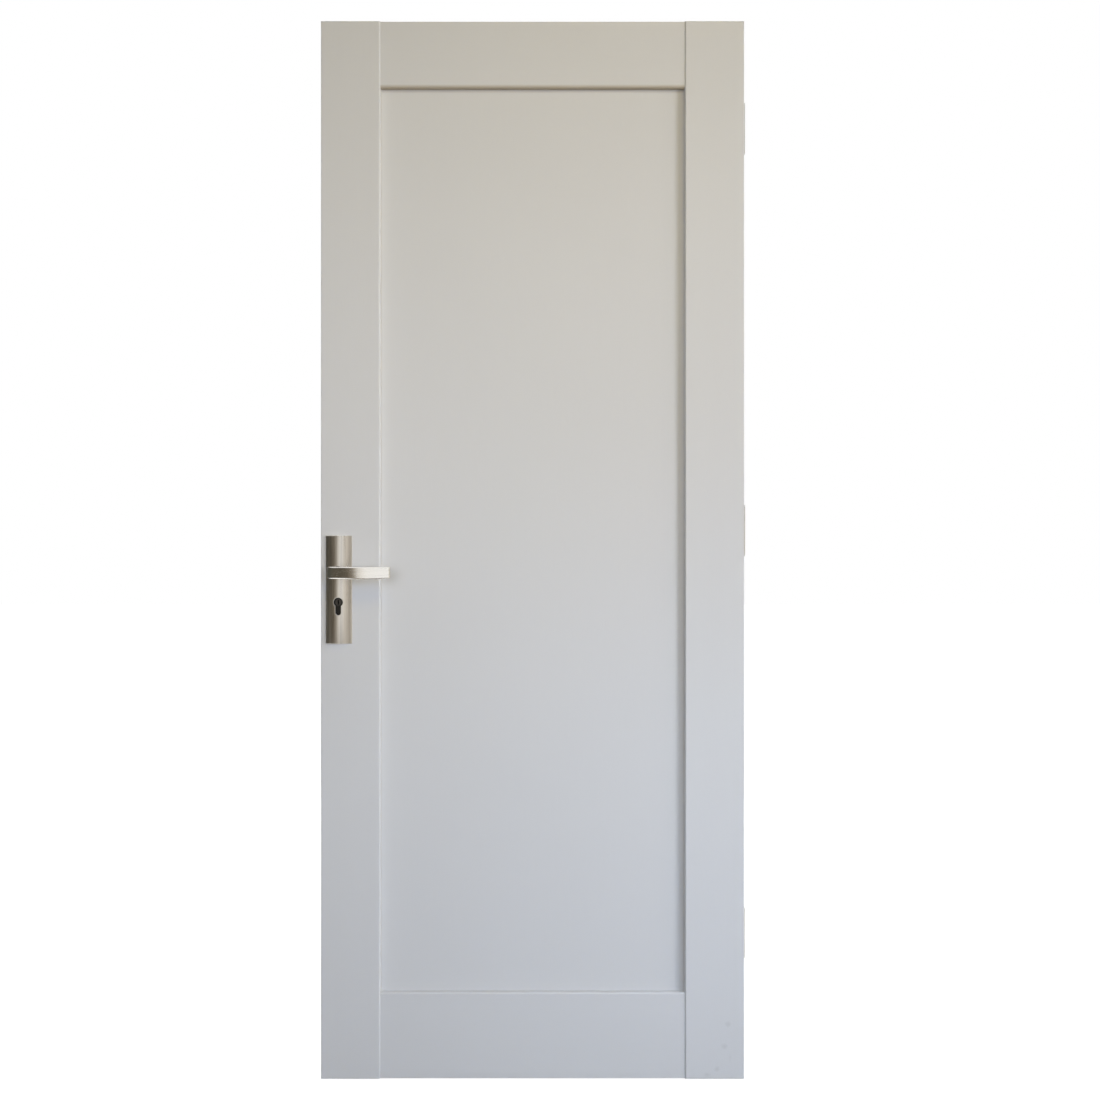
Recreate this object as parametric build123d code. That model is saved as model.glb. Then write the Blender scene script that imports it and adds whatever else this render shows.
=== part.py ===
"""One-panel interior door leaf with its lever handles, mortice lock and three butt hinges.

Millimetres, +Z up. The front face looks along -Y, the hinges are on the +X side and the origin
lies on the back face of the lowest jamb leaf, at the middle of that leaf.
"""

import os

from build123d import *

os.makedirs("parts", exist_ok=True)

# Door leaf
door_width = 813.0
door_height = 2032.0
door_thickness = 40.0
stile_width = 114.0
top_rail_height = 127.0
bottom_rail_height = 165.0
inner_chamfer = 2.5
rail_set_back = 2.5
outer_arris = 1.0

# Flat panel, housed in a groove all round
panel_thickness = 12.0
groove_depth = 12.0
panel_face_clearance = 0.1
panel_edge_room = 2.0

# Butt hinges
hinge_height = 100.0
hinge_leaf_width = 27.0
hinge_leaf_thickness = 2.5
hinge_leaf_corner = 8.0
hinge_closed_gap = 1.6
hinge_foot_to_door_foot = 225.0
hinge_head_to_door_head = 150.0
knuckle_count = 5
knuckle_wall = 2.5
knuckle_axial_clearance = 0.35
knuckle_to_leaf_clearance = 0.5
knuckle_bite = 2.2
pin_radius = 3.0
pin_running_clearance = 0.05
pin_press_clearance = 0.02
pin_to_back_face = 6.5
pin_head_radius = 5.2
pin_head_height = 2.2
pin_head_round = 1.0
hinge_screw_radius = 2.4
hinge_countersink_radius = 4.2
outer_screw_spacing = 74.0
inner_screw_spacing = 32.0
screw_column_offset = 6.0
recess_clearance = 0.15

# Lever handles, measured from the door's foot, its lock edge and its faces.
# The backplates, the lock and its cylinder all hang from the spindle's height.
spindle_height = 973.0
lock_backset = 35.0
spindle_square = 8.0
spindle_socket_depth = 22.0
socket_clearance = 0.05
neck_radius = 10.0
neck_start = 2.0
neck_end = 17.0
elbow_start = 28.0
elbow_heel = 17.0
elbow_throat = 9.5
elbow_run = 60.0
grip_front = 57.0
grip_back = 46.0
grip_reach = 105.5
tip_front = 54.6
tip_back = 45.0
grip_half_height = 11.5
belly_drop = 1.0
belly_place = 0.55
tip_lift = 0.4
tip_slope = 0.03
grip_edge_round = 3.0
tip_corner_round = 4.0
grub_screw_radius = 2.0
grub_screw_place = 20.0

# Half-round backplates
plate_width = 50.0
plate_height = 207.0
plate_crest = 13.0
plate_skirt = 2.0
plate_wall = 1.5
plate_centre_drop = 33.0
plate_end_round = 0.8
bush_wall = 2.0
bush_stand_out = 1.2
bush_running_clearance = 0.05
bush_seat_clearance = 0.02

# Profile cylinder
cylinder_drop = 57.0
cylinder_round_radius = 8.5
cylinder_overall = 33.0
cylinder_web = 10.0
cylinder_length = 54.0
cylinder_plate_clearance = 0.25
keyhole_chamfer = 0.8
cylinder_wood_clearance = 1.0
plug_radius = 6.5
plug_length = 14.0
plug_seat_clearance = 0.02
keyway_width = 2.6
keyway_height = 9.0
keyway_depth = 10.0

# Mortice lock
lock_centre_drop = 33.0
lock_body_height = 165.0
lock_body_depth = 56.0
lock_body_thickness = 16.0
lock_body_clearance = 0.5
forend_height = 235.0
forend_width = 20.0
forend_thickness = 3.0
forend_screw_spacing = 215.0
forend_screw_radius = 2.2
forend_countersink_radius = 4.0
cylinder_screw_drop = 17.0
cylinder_screw_radius = 2.7
cylinder_countersink_radius = 4.4
screw_countersink_angle = 90.0
spindle_hole_radius = 9.0
bolt_clearance = 0.3
bolt_length = 22.0
bolt_thickness = 12.0
latch_height = 30.0
latch_rise = 22.0
dead_bolt_height = 26.0
dead_bolt_rise = 5.0
bolt_nose_round = 1.2

# Places that follow from the sizes above
pin_x = -(hinge_leaf_thickness + hinge_closed_gap / 2)
hinge_edge_x = -(hinge_leaf_thickness + hinge_closed_gap)
lock_edge_x = hinge_edge_x - door_width
knuckle_radius = pin_radius + pin_running_clearance + knuckle_wall
leaf_knuckle_edge = knuckle_radius + knuckle_to_leaf_clearance
pin_y = hinge_leaf_width / 2 + leaf_knuckle_edge
back_y = pin_y - pin_to_back_face
front_y = back_y - door_thickness
middle_y = back_y - door_thickness / 2
foot_z = -(hinge_foot_to_door_foot + hinge_height / 2)
head_z = foot_z + door_height
top_hinge_z = head_z - hinge_head_to_door_head - hinge_height / 2
hinge_places = {"bottom": 0.0, "middle": top_hinge_z / 2, "top": top_hinge_z}
rail_thickness = door_thickness - 2 * rail_set_back
groove_width = panel_thickness + 2 * panel_face_clearance
opening_width = door_width - 2 * stile_width
opening_foot_z = foot_z + bottom_rail_height
opening_head_z = head_z - top_rail_height
opening_middle_x = hinge_edge_x - door_width / 2
spindle_x = lock_edge_x + lock_backset
spindle_z = foot_z + spindle_height
cylinder_z = spindle_z - cylinder_drop
plate_z = spindle_z - plate_centre_drop
lock_z = spindle_z - lock_centre_drop
bush_radius = neck_radius + bush_running_clearance + bush_wall


def save(node, solid):
    """Write one piece to its own file."""
    export_step(solid, f"parts/{node}.step")


def block(low_x, high_x, low_y, high_y, low_z, high_z):
    """A square-edged block between two corners."""
    size = (high_x - low_x, high_y - low_y, high_z - low_z)
    middle = ((low_x + high_x) / 2, (low_y + high_y) / 2, (low_z + high_z) / 2)
    return Pos(*middle) * Box(*size)


def rod_y(x, z, radius, low_y, high_y):
    """A round bar along Y between two planes."""
    place = Pos(x, (low_y + high_y) / 2, z) * Rot(90, 0, 0)
    return place * Cylinder(radius, high_y - low_y)


def rod_x(y, z, radius, low_x, high_x):
    """A round bar along X between two planes."""
    place = Pos((low_x + high_x) / 2, y, z) * Rot(0, 90, 0)
    return place * Cylinder(radius, high_x - low_x)


def framing_profile(width, thickness):
    """Section of a stile or rail: width along X with the grooved, chamfered edge on +X."""
    half = thickness / 2
    outline = Polyline(
        (0, outer_arris - half),
        (outer_arris, -half),
        (width - inner_chamfer, -half),
        (width, inner_chamfer - half),
        (width, -groove_width / 2),
        (width - groove_depth, -groove_width / 2),
        (width - groove_depth, groove_width / 2),
        (width, groove_width / 2),
        (width, half - inner_chamfer),
        (width - inner_chamfer, half),
        (outer_arris, half),
        (0, half - outer_arris),
        close=True,
    )
    return make_face(outline)


def stile():
    """A full-height stile, its outer edge at x = 0 and its foot at z = 0."""
    bar = extrude(framing_profile(stile_width, door_thickness), door_height)
    ends = bar.edges().filter_by(Axis.X)
    long_ends = [edge for edge in ends if edge.length > stile_width / 2]
    return chamfer(long_ends, outer_arris)


def rail(height):
    """A rail lying along Z with a stub tenon at each end, outer edge at x = 0."""
    section = framing_profile(height, rail_thickness)
    bar = Pos(0, 0, -opening_width / 2) * extrude(section, opening_width)
    tenon_length = opening_width + 2 * groove_depth
    tenon_height = height - groove_depth - outer_arris
    tenon = Box(tenon_height, groove_width, tenon_length)
    tenon = Pos(outer_arris + tenon_height / 2, 0, 0) * tenon
    return bar + tenon


def profile_shape(clearance=0.0):
    """Round head and narrow web of the lock cylinder, centred on the round head."""
    radius = cylinder_round_radius + clearance
    web = cylinder_web + 2 * clearance
    web_foot = cylinder_round_radius - cylinder_overall - clearance
    web_round = web / 2
    straight = Pos(0, (web_foot + web_round) / 2) * Rectangle(web, -(web_foot + web_round))
    foot = Pos(0, web_foot + web_round) * Circle(web_round)
    return Circle(radius) + straight + foot


def profile_bar(clearance, low_y, high_y):
    """The cylinder profile drawn out along Y between two planes."""
    plane = Plane(origin=(spindle_x, high_y, cylinder_z), x_dir=(1, 0, 0), z_dir=(0, -1, 0))
    return extrude(plane * profile_shape(clearance), high_y - low_y)


def mirror_to_back(solid):
    """The same piece turned over to the back face."""
    return mirror(solid, about=Plane.XZ.offset(-middle_y))


def leaf_outline(extra=0.0):
    """Outline of a hinge leaf in the Y-Z plane, rounded at its free edge."""
    half_height = hinge_height / 2 + extra
    near = pin_y - leaf_knuckle_edge
    far = near - hinge_leaf_width - extra
    corner = hinge_leaf_corner + extra
    outline = Polyline(
        (near, -half_height),
        (near, half_height),
        (far, half_height),
        (far, -half_height),
        close=True,
    )
    face = make_face(outline)
    return fillet(face.vertices().group_by(Axis.X)[0], corner)


def knuckle_span(index):
    """Lower and upper end of one knuckle, counted from the foot of the hinge."""
    pitch = (hinge_height + knuckle_axial_clearance) / knuckle_count
    low = -hinge_height / 2 + index * pitch
    return low, low + pitch - knuckle_axial_clearance


def screw_places():
    """Screw positions of one leaf, as (y, z): a wide pair outside and a close pair inside."""
    return [
        (-screw_column_offset, -outer_screw_spacing / 2),
        (-screw_column_offset, outer_screw_spacing / 2),
        (screw_column_offset, -inner_screw_spacing / 2),
        (screw_column_offset, inner_screw_spacing / 2),
    ]


def jamb_side_leaf(knuckles, bore_radius):
    """A hinge leaf on the jamb side with the given knuckles rolled on it."""
    flat = extrude(Plane.YZ * leaf_outline(), -hinge_leaf_thickness)
    leaf = flat
    for index in knuckles:
        low, high = knuckle_span(index)
        neck_far = pin_y - leaf_knuckle_edge
        neck_near = neck_far + knuckle_bite
        leaf += block(-hinge_leaf_thickness, 0, neck_far, neck_near, low, high)
        barrel = Cylinder(knuckle_radius, high - low)
        leaf += Pos(pin_x, pin_y, (low + high) / 2) * barrel
    leaf -= Pos(pin_x, pin_y, 0) * Cylinder(bore_radius, hinge_height)
    for y, z in screw_places():
        place = Pos(-hinge_leaf_thickness, y, z) * Rot(0, -90, 0)
        leaf -= place * CounterSinkHole(
            hinge_screw_radius,
            hinge_countersink_radius,
            hinge_leaf_thickness,
            screw_countersink_angle,
        )
    return leaf


def hinge_pin():
    """The pin with a low rounded head at each end."""
    shank = Cylinder(pin_radius, hinge_height)
    head = Cylinder(pin_head_radius, pin_head_height)
    head = fillet(head.edges().group_by(Axis.Z)[-1], pin_head_round)
    head_place = hinge_height / 2 + pin_head_height / 2
    pin = shank + Pos(0, 0, head_place) * head
    pin += Pos(0, 0, -head_place) * Rot(180, 0, 0) * head
    return Pos(pin_x, pin_y, 0) * pin


def backplate():
    """Hollow half-round plate on the front face with holes for the lever and the cylinder."""
    half = plate_width / 2

    def section(inset):
        arch = ThreePointArc(
            (inset - half, plate_skirt - inset),
            (0, plate_crest - inset),
            (half - inset, plate_skirt - inset),
        )
        base = Polyline(
            (half - inset, plate_skirt - inset),
            (half - inset, -inset),
            (inset - half, -inset),
            (inset - half, plate_skirt - inset),
        )
        return make_face([arch, base])

    floor = Plane(
        origin=(spindle_x, front_y, plate_z - plate_height / 2), x_dir=(1, 0, 0), z_dir=(0, 0, 1)
    )
    turned = floor * mirror(section(0), about=Plane.XZ)
    hollow = floor.offset(plate_wall) * mirror(section(plate_wall), about=Plane.XZ)
    plate = extrude(turned, plate_height)
    arch_ends = [edge for edge in plate.edges() if edge.geom_type == GeomType.CIRCLE]
    plate = fillet(arch_ends, plate_end_round)
    plate -= extrude(hollow, plate_height - 2 * plate_wall)
    reach_y = front_y - 2 * plate_crest
    plate -= rod_y(spindle_x, spindle_z, bush_radius + bush_seat_clearance, reach_y, front_y)
    plate -= profile_bar(cylinder_plate_clearance, reach_y, front_y)
    rim_edges = [
        edge
        for edge in plate.edges()
        if abs(edge.center().X - spindle_x) < cylinder_round_radius + cylinder_plate_clearance
        and abs(edge.center().Z - cylinder_z) < cylinder_overall
        and edge.center().Y < front_y - plate_crest + plate_wall / 2
    ]
    return chamfer(rim_edges, keyhole_chamfer)


def neck_bush():
    """Bearing ring that stands on the door face and carries the lever's neck."""
    outer_y = front_y - plate_crest - bush_stand_out
    ring = rod_y(spindle_x, spindle_z, bush_radius, outer_y, front_y)
    bore = neck_radius + bush_running_clearance
    return ring - rod_y(spindle_x, spindle_z, bore, outer_y, front_y)


def lever():
    """Front lever: round neck, flared into a flat bar that sweeps round into the grip."""
    plan = Plane(origin=(0, 0, 0), x_dir=(1, 0, 0), z_dir=(0, 0, -1))
    elbow_x = elbow_run - elbow_heel
    outer_rise = grip_front - elbow_start
    inner_rise = grip_back - elbow_start
    inner_run = elbow_x - elbow_throat
    elbow_centre = (elbow_x, elbow_start)
    quarter = {"start_angle": 90, "arc_size": 90}
    outer = EllipticalCenterArc(elbow_centre, elbow_run, outer_rise, **quarter)
    inner = EllipticalCenterArc(elbow_centre, inner_run, inner_rise, **quarter)
    grip_outer = TangentArc((elbow_x, grip_front), (grip_reach, tip_front), tangent=(1, 0))
    grip_inner = TangentArc((elbow_x, grip_back), (grip_reach, tip_back), tangent=(1, 0))
    tip = Line((grip_reach, tip_front), (grip_reach, tip_back))
    root = Line((-elbow_heel, elbow_start), (elbow_throat, elbow_start))
    plan_face = make_face([outer, grip_outer, tip, grip_inner, inner, root])
    bar = extrude(plan * plan_face, 2 * grip_half_height, both=True)

    belly = Spline(
        (elbow_throat, -grip_half_height),
        (grip_reach * belly_place, -grip_half_height - belly_drop),
        (grip_reach, tip_lift - grip_half_height),
        tangents=((1, 0), (1, tip_slope)),
    )
    margin = 2 * elbow_heel
    rim = Polyline(
        (grip_reach, tip_lift - grip_half_height),
        (grip_reach, grip_half_height),
        (-margin, grip_half_height),
        (-margin, -grip_half_height),
        (elbow_throat, -grip_half_height),
    )
    side_face = make_face([belly, rim])
    bar &= extrude(Plane.XZ * side_face, 2 * grip_front, both=True)

    tip_corners = bar.edges().filter_by(Axis.Z).group_by(Axis.X)[-1]
    bar = fillet(tip_corners, tip_corner_round)
    root_edges = bar.faces().sort_by(Axis.Y)[-1].edges()
    long_edges = [edge for edge in bar.edges() if abs(edge.center().Z) > grip_half_height / 2]
    bar = fillet([edge for edge in long_edges if edge not in root_edges], grip_edge_round)

    def across(distance):
        return Plane(origin=(0, -distance, 0), x_dir=(1, 0, 0), z_dir=(0, -1, 0))

    root_width = elbow_heel + elbow_throat
    flare_end = RectangleRounded(root_width, 2 * grip_half_height, grip_edge_round)
    flare_end = Pos(elbow_throat - root_width / 2, 0) * flare_end
    flare = loft([across(neck_end) * Circle(neck_radius), across(elbow_start) * flare_end])
    neck = extrude(across(neck_start) * Circle(neck_radius), neck_end - neck_start)
    handle = bar + flare + neck
    socket = spindle_square + 2 * socket_clearance
    handle -= extrude(across(neck_start) * Rectangle(socket, socket), spindle_socket_depth)
    grub = Pos(0, -grub_screw_place, -neck_radius) * Cylinder(grub_screw_radius, 2 * neck_radius)
    handle -= grub
    return Pos(spindle_x, front_y, spindle_z) * handle


def bolt(z, height):
    """A lock bolt drawn back flush with the forend."""
    inner_x = lock_edge_x + bolt_length
    half = bolt_thickness / 2
    body = block(
        lock_edge_x, inner_x, middle_y - half, middle_y + half, z - height / 2, z + height / 2
    )
    nose = body.faces().sort_by(Axis.X)[0].edges()
    return fillet(nose, bolt_nose_round)


def bolt_room(z, height):
    """The room cut for a lock bolt in the forend and the lock body."""
    inner_x = lock_edge_x + bolt_length
    half = bolt_thickness / 2 + bolt_clearance
    tall = height / 2 + bolt_clearance
    return block(lock_edge_x, inner_x, middle_y - half, middle_y + half, z - tall, z + tall)


def forend_bar(extra, depth):
    """A round-ended strip let into the lock edge."""
    plane = Plane(origin=(lock_edge_x, middle_y, lock_z), x_dir=(0, 1, 0), z_dir=(1, 0, 0))
    shape = SlotOverall(forend_height + 2 * extra, forend_width + 2 * extra, rotation=90)
    return extrude(plane * shape, depth)


# Stiles: the lock stile is turned so that both grooved edges face the panel
lock_stile = Pos(lock_edge_x, middle_y, foot_z) * stile()
hinge_stile = Pos(hinge_edge_x, middle_y, foot_z) * Rot(0, 0, 180) * stile()

for hinge_z in hinge_places.values():
    recess = extrude(Plane.YZ * leaf_outline(recess_clearance), -hinge_leaf_thickness)
    hinge_stile -= Pos(hinge_edge_x, 0, hinge_z) * recess

cylinder_screw_z = cylinder_z - cylinder_screw_drop
latch_z = spindle_z + latch_rise
dead_bolt_z = cylinder_z + dead_bolt_rise
lock_body_inner_x = lock_edge_x + forend_thickness + lock_body_depth
mortice_half = lock_body_thickness / 2 + lock_body_clearance
mortice_tall = lock_body_height / 2 + lock_body_clearance
lock_stile -= block(
    lock_edge_x,
    lock_body_inner_x + lock_body_clearance,
    middle_y - mortice_half,
    middle_y + mortice_half,
    lock_z - mortice_tall,
    lock_z + mortice_tall,
)
lock_stile -= forend_bar(recess_clearance, forend_thickness)
lock_stile -= rod_y(spindle_x, spindle_z, spindle_hole_radius, front_y, back_y)
lock_stile -= profile_bar(cylinder_wood_clearance, front_y, back_y)

# Rails, laid along X between the stiles, and the panel standing in the bottom groove
top_rail = Pos(opening_middle_x, middle_y, head_z) * Rot(0, 90, 0) * rail(top_rail_height)
bottom_rail = Pos(opening_middle_x, middle_y, foot_z) * Rot(0, -90, 0) * rail(bottom_rail_height)
panel_half_width = opening_width / 2 + groove_depth - panel_edge_room
panel = block(
    opening_middle_x - panel_half_width,
    opening_middle_x + panel_half_width,
    middle_y - panel_thickness / 2,
    middle_y + panel_thickness / 2,
    opening_foot_z - groove_depth,
    opening_head_z + groove_depth - panel_edge_room,
)

save("lock_stile", lock_stile)
save("hinge_stile", hinge_stile)
save("top_rail", top_rail)
save("bottom_rail", bottom_rail)
save("panel", panel)

# Mortice lock
half_body = lock_body_thickness / 2
lock_body = block(
    lock_edge_x + forend_thickness,
    lock_body_inner_x,
    middle_y - half_body,
    middle_y + half_body,
    lock_z - lock_body_height / 2,
    lock_z + lock_body_height / 2,
)
forend = forend_bar(0, forend_thickness)
for bolt_z, bolt_height in ((latch_z, latch_height), (dead_bolt_z, dead_bolt_height)):
    lock_body -= bolt_room(bolt_z, bolt_height)
    forend -= bolt_room(bolt_z, bolt_height)
lock_body -= rod_y(spindle_x, spindle_z, spindle_hole_radius, front_y, back_y)
lock_body -= profile_bar(bolt_clearance, front_y, back_y)
forend_screw_places = (
    (lock_z - forend_screw_spacing / 2, forend_screw_radius, forend_countersink_radius),
    (lock_z + forend_screw_spacing / 2, forend_screw_radius, forend_countersink_radius),
    (cylinder_screw_z, cylinder_screw_radius, cylinder_countersink_radius),
)
for screw_z, screw_radius, countersink_radius in forend_screw_places:
    screw_place = Pos(lock_edge_x, middle_y, screw_z) * Rot(0, -90, 0)
    forend -= screw_place * CounterSinkHole(
        screw_radius, countersink_radius, forend_thickness, screw_countersink_angle
    )
lock_body -= rod_x(middle_y, cylinder_screw_z, cylinder_screw_radius, lock_edge_x, spindle_x)

save("lock_body", lock_body)
save("lock_forend", forend)
save("latch_bolt", bolt(latch_z, latch_height))
save("dead_bolt", bolt(dead_bolt_z, dead_bolt_height))

# Profile cylinder with a key plug at each end
cylinder_front_y = middle_y - cylinder_length / 2
cylinder_back_y = middle_y + cylinder_length / 2
lock_cylinder = profile_bar(0, cylinder_front_y, cylinder_back_y)
plug_bore = plug_radius + plug_seat_clearance
plug_inner_y = cylinder_front_y + plug_length
lock_cylinder -= rod_y(spindle_x, cylinder_z, plug_bore, cylinder_front_y, plug_inner_y)
lock_cylinder -= mirror_to_back(
    rod_y(spindle_x, cylinder_z, plug_bore, cylinder_front_y, plug_inner_y)
)
front_plug = rod_y(spindle_x, cylinder_z, plug_radius, cylinder_front_y, plug_inner_y)
front_plug -= block(
    spindle_x - keyway_width / 2,
    spindle_x + keyway_width / 2,
    cylinder_front_y,
    cylinder_front_y + keyway_depth,
    cylinder_z - keyway_height / 2,
    cylinder_z + keyway_height / 2,
)

save("lock_cylinder", lock_cylinder)
save("front_key_plug", front_plug)
save("back_key_plug", mirror_to_back(front_plug))

# Handles on both faces, joined by the spindle
front_plate = backplate()
front_bush = neck_bush()
front_lever = lever()
spindle_end_y = front_y - neck_start - spindle_socket_depth
spindle_half = spindle_square / 2
spindle = block(
    spindle_x - spindle_half,
    spindle_x + spindle_half,
    spindle_end_y,
    2 * middle_y - spindle_end_y,
    spindle_z - spindle_half,
    spindle_z + spindle_half,
)

save("front_backplate", front_plate)
save("back_backplate", mirror_to_back(front_plate))
save("front_neck_bush", front_bush)
save("back_neck_bush", mirror_to_back(front_bush))
save("front_lever", front_lever)
save("back_lever", mirror_to_back(front_lever))
save("spindle", spindle)

# Hinges: the jamb leaf carries the end knuckles and the pin, the door leaf the ones between
jamb_knuckles = range(0, knuckle_count, 2)
door_knuckles = range(1, knuckle_count, 2)
jamb_leaf = jamb_side_leaf(jamb_knuckles, pin_radius + pin_press_clearance)
door_leaf = mirror(
    jamb_side_leaf(door_knuckles, pin_radius + pin_running_clearance),
    about=Plane.YZ.offset(pin_x),
)
pin = hinge_pin()
for place, hinge_z in hinge_places.items():
    save(f"{place}_jamb_leaf", Pos(0, 0, hinge_z) * jamb_leaf)
    save(f"{place}_door_leaf", Pos(0, 0, hinge_z) * door_leaf)
    save(f"{place}_hinge_pin", Pos(0, 0, hinge_z) * pin)
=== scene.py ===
"""Looks of a white painted interior door: its paint, handles, lock, hinges and studio."""

import logging
import math
from dataclasses import dataclass, field
from enum import Enum

import bmesh
import bpy
from mathutils import Matrix, Vector


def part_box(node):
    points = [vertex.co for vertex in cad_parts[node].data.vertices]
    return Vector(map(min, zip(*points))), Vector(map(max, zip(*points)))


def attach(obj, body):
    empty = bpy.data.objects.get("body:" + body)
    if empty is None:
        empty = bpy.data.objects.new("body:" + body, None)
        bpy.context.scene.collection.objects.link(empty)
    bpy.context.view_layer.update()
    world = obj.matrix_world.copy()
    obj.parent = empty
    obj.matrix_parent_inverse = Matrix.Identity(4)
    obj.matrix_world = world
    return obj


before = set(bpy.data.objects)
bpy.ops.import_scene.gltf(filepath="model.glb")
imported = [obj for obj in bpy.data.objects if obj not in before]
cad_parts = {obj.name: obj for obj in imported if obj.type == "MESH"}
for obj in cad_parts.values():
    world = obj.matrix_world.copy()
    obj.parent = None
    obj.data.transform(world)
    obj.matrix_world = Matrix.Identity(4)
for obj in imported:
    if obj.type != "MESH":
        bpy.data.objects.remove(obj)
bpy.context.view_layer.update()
LOG = logging.getLogger("interior_door")
MM = 0.001

Colour = tuple[float, float, float]
Triple = tuple[float, float, float]


class Lay(Enum):
    """Row axis that brush marks run along, as the stretch of the pattern on X, Y and Z."""

    ALONG_X = (0.03, 1.0, 1.0)
    ALONG_Y = (1.0, 0.03, 1.0)
    ALONG_Z = (1.0, 1.0, 0.03)


@dataclass
class Graph:
    """A shader node tree with short calls that add and join its nodes."""

    tree: bpy.types.ShaderNodeTree

    def add(self, kind: str, sockets: dict | None = None, **settings: object) -> bpy.types.Node:
        """Adds one node.

        Args:
            kind: Blender's name of the node type.
            sockets: Input name or number to a value, or to the socket that feeds it.
            settings: Properties of the node itself.

        Returns:
            The new node.
        """
        node = self.tree.nodes.new(kind)
        for name, value in settings.items():
            setattr(node, name, value)
        for key, value in (sockets or {}).items():
            if isinstance(value, bpy.types.NodeSocket):
                self.tree.links.new(value, node.inputs[key])
            else:
                node.inputs[key].default_value = value
        return node

    def math(self, operation: str, *values: object) -> bpy.types.NodeSocket:
        """Result of one Math node on sockets or numbers."""
        return self.add("ShaderNodeMath", dict(enumerate(values)), operation=operation).outputs[0]

    def vector(self, operation: str, *values: object) -> bpy.types.Node:
        """A Vector Math node on sockets or vectors."""
        return self.add("ShaderNodeVectorMath", dict(enumerate(values)), operation=operation)

    def noise(
        self, place: object, scale: float, detail: float, roughness: float = 0.5
    ) -> bpy.types.NodeSocket:
        """Value of a noise texture at a place, about 0 to 1."""
        sockets = {"Vector": place, "Scale": scale, "Detail": detail, "Roughness": roughness}
        return self.add("ShaderNodeTexNoise", sockets).outputs["Fac"]

    def remap(
        self, value: object, low: float, high: float, to_low: float, to_high: float
    ) -> bpy.types.NodeSocket:
        """A value moved from one range to another and held inside it."""
        sockets = {0: value, 1: low, 2: high, 3: to_low, 4: to_high}
        return self.add("ShaderNodeMapRange", sockets, clamp=True).outputs[0]

    def mix(self, share: object, first: object, second: object) -> bpy.types.NodeSocket:
        """Colour between two colours, by share."""
        sockets = {0: share, 6: first, 7: second}
        return self.add("ShaderNodeMix", sockets, data_type="RGBA").outputs[2]

    def group(self, tree: bpy.types.ShaderNodeTree, sockets: dict) -> bpy.types.Node:
        """Places a shared node group."""
        return self.add("ShaderNodeGroup", sockets, node_tree=tree)


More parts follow.
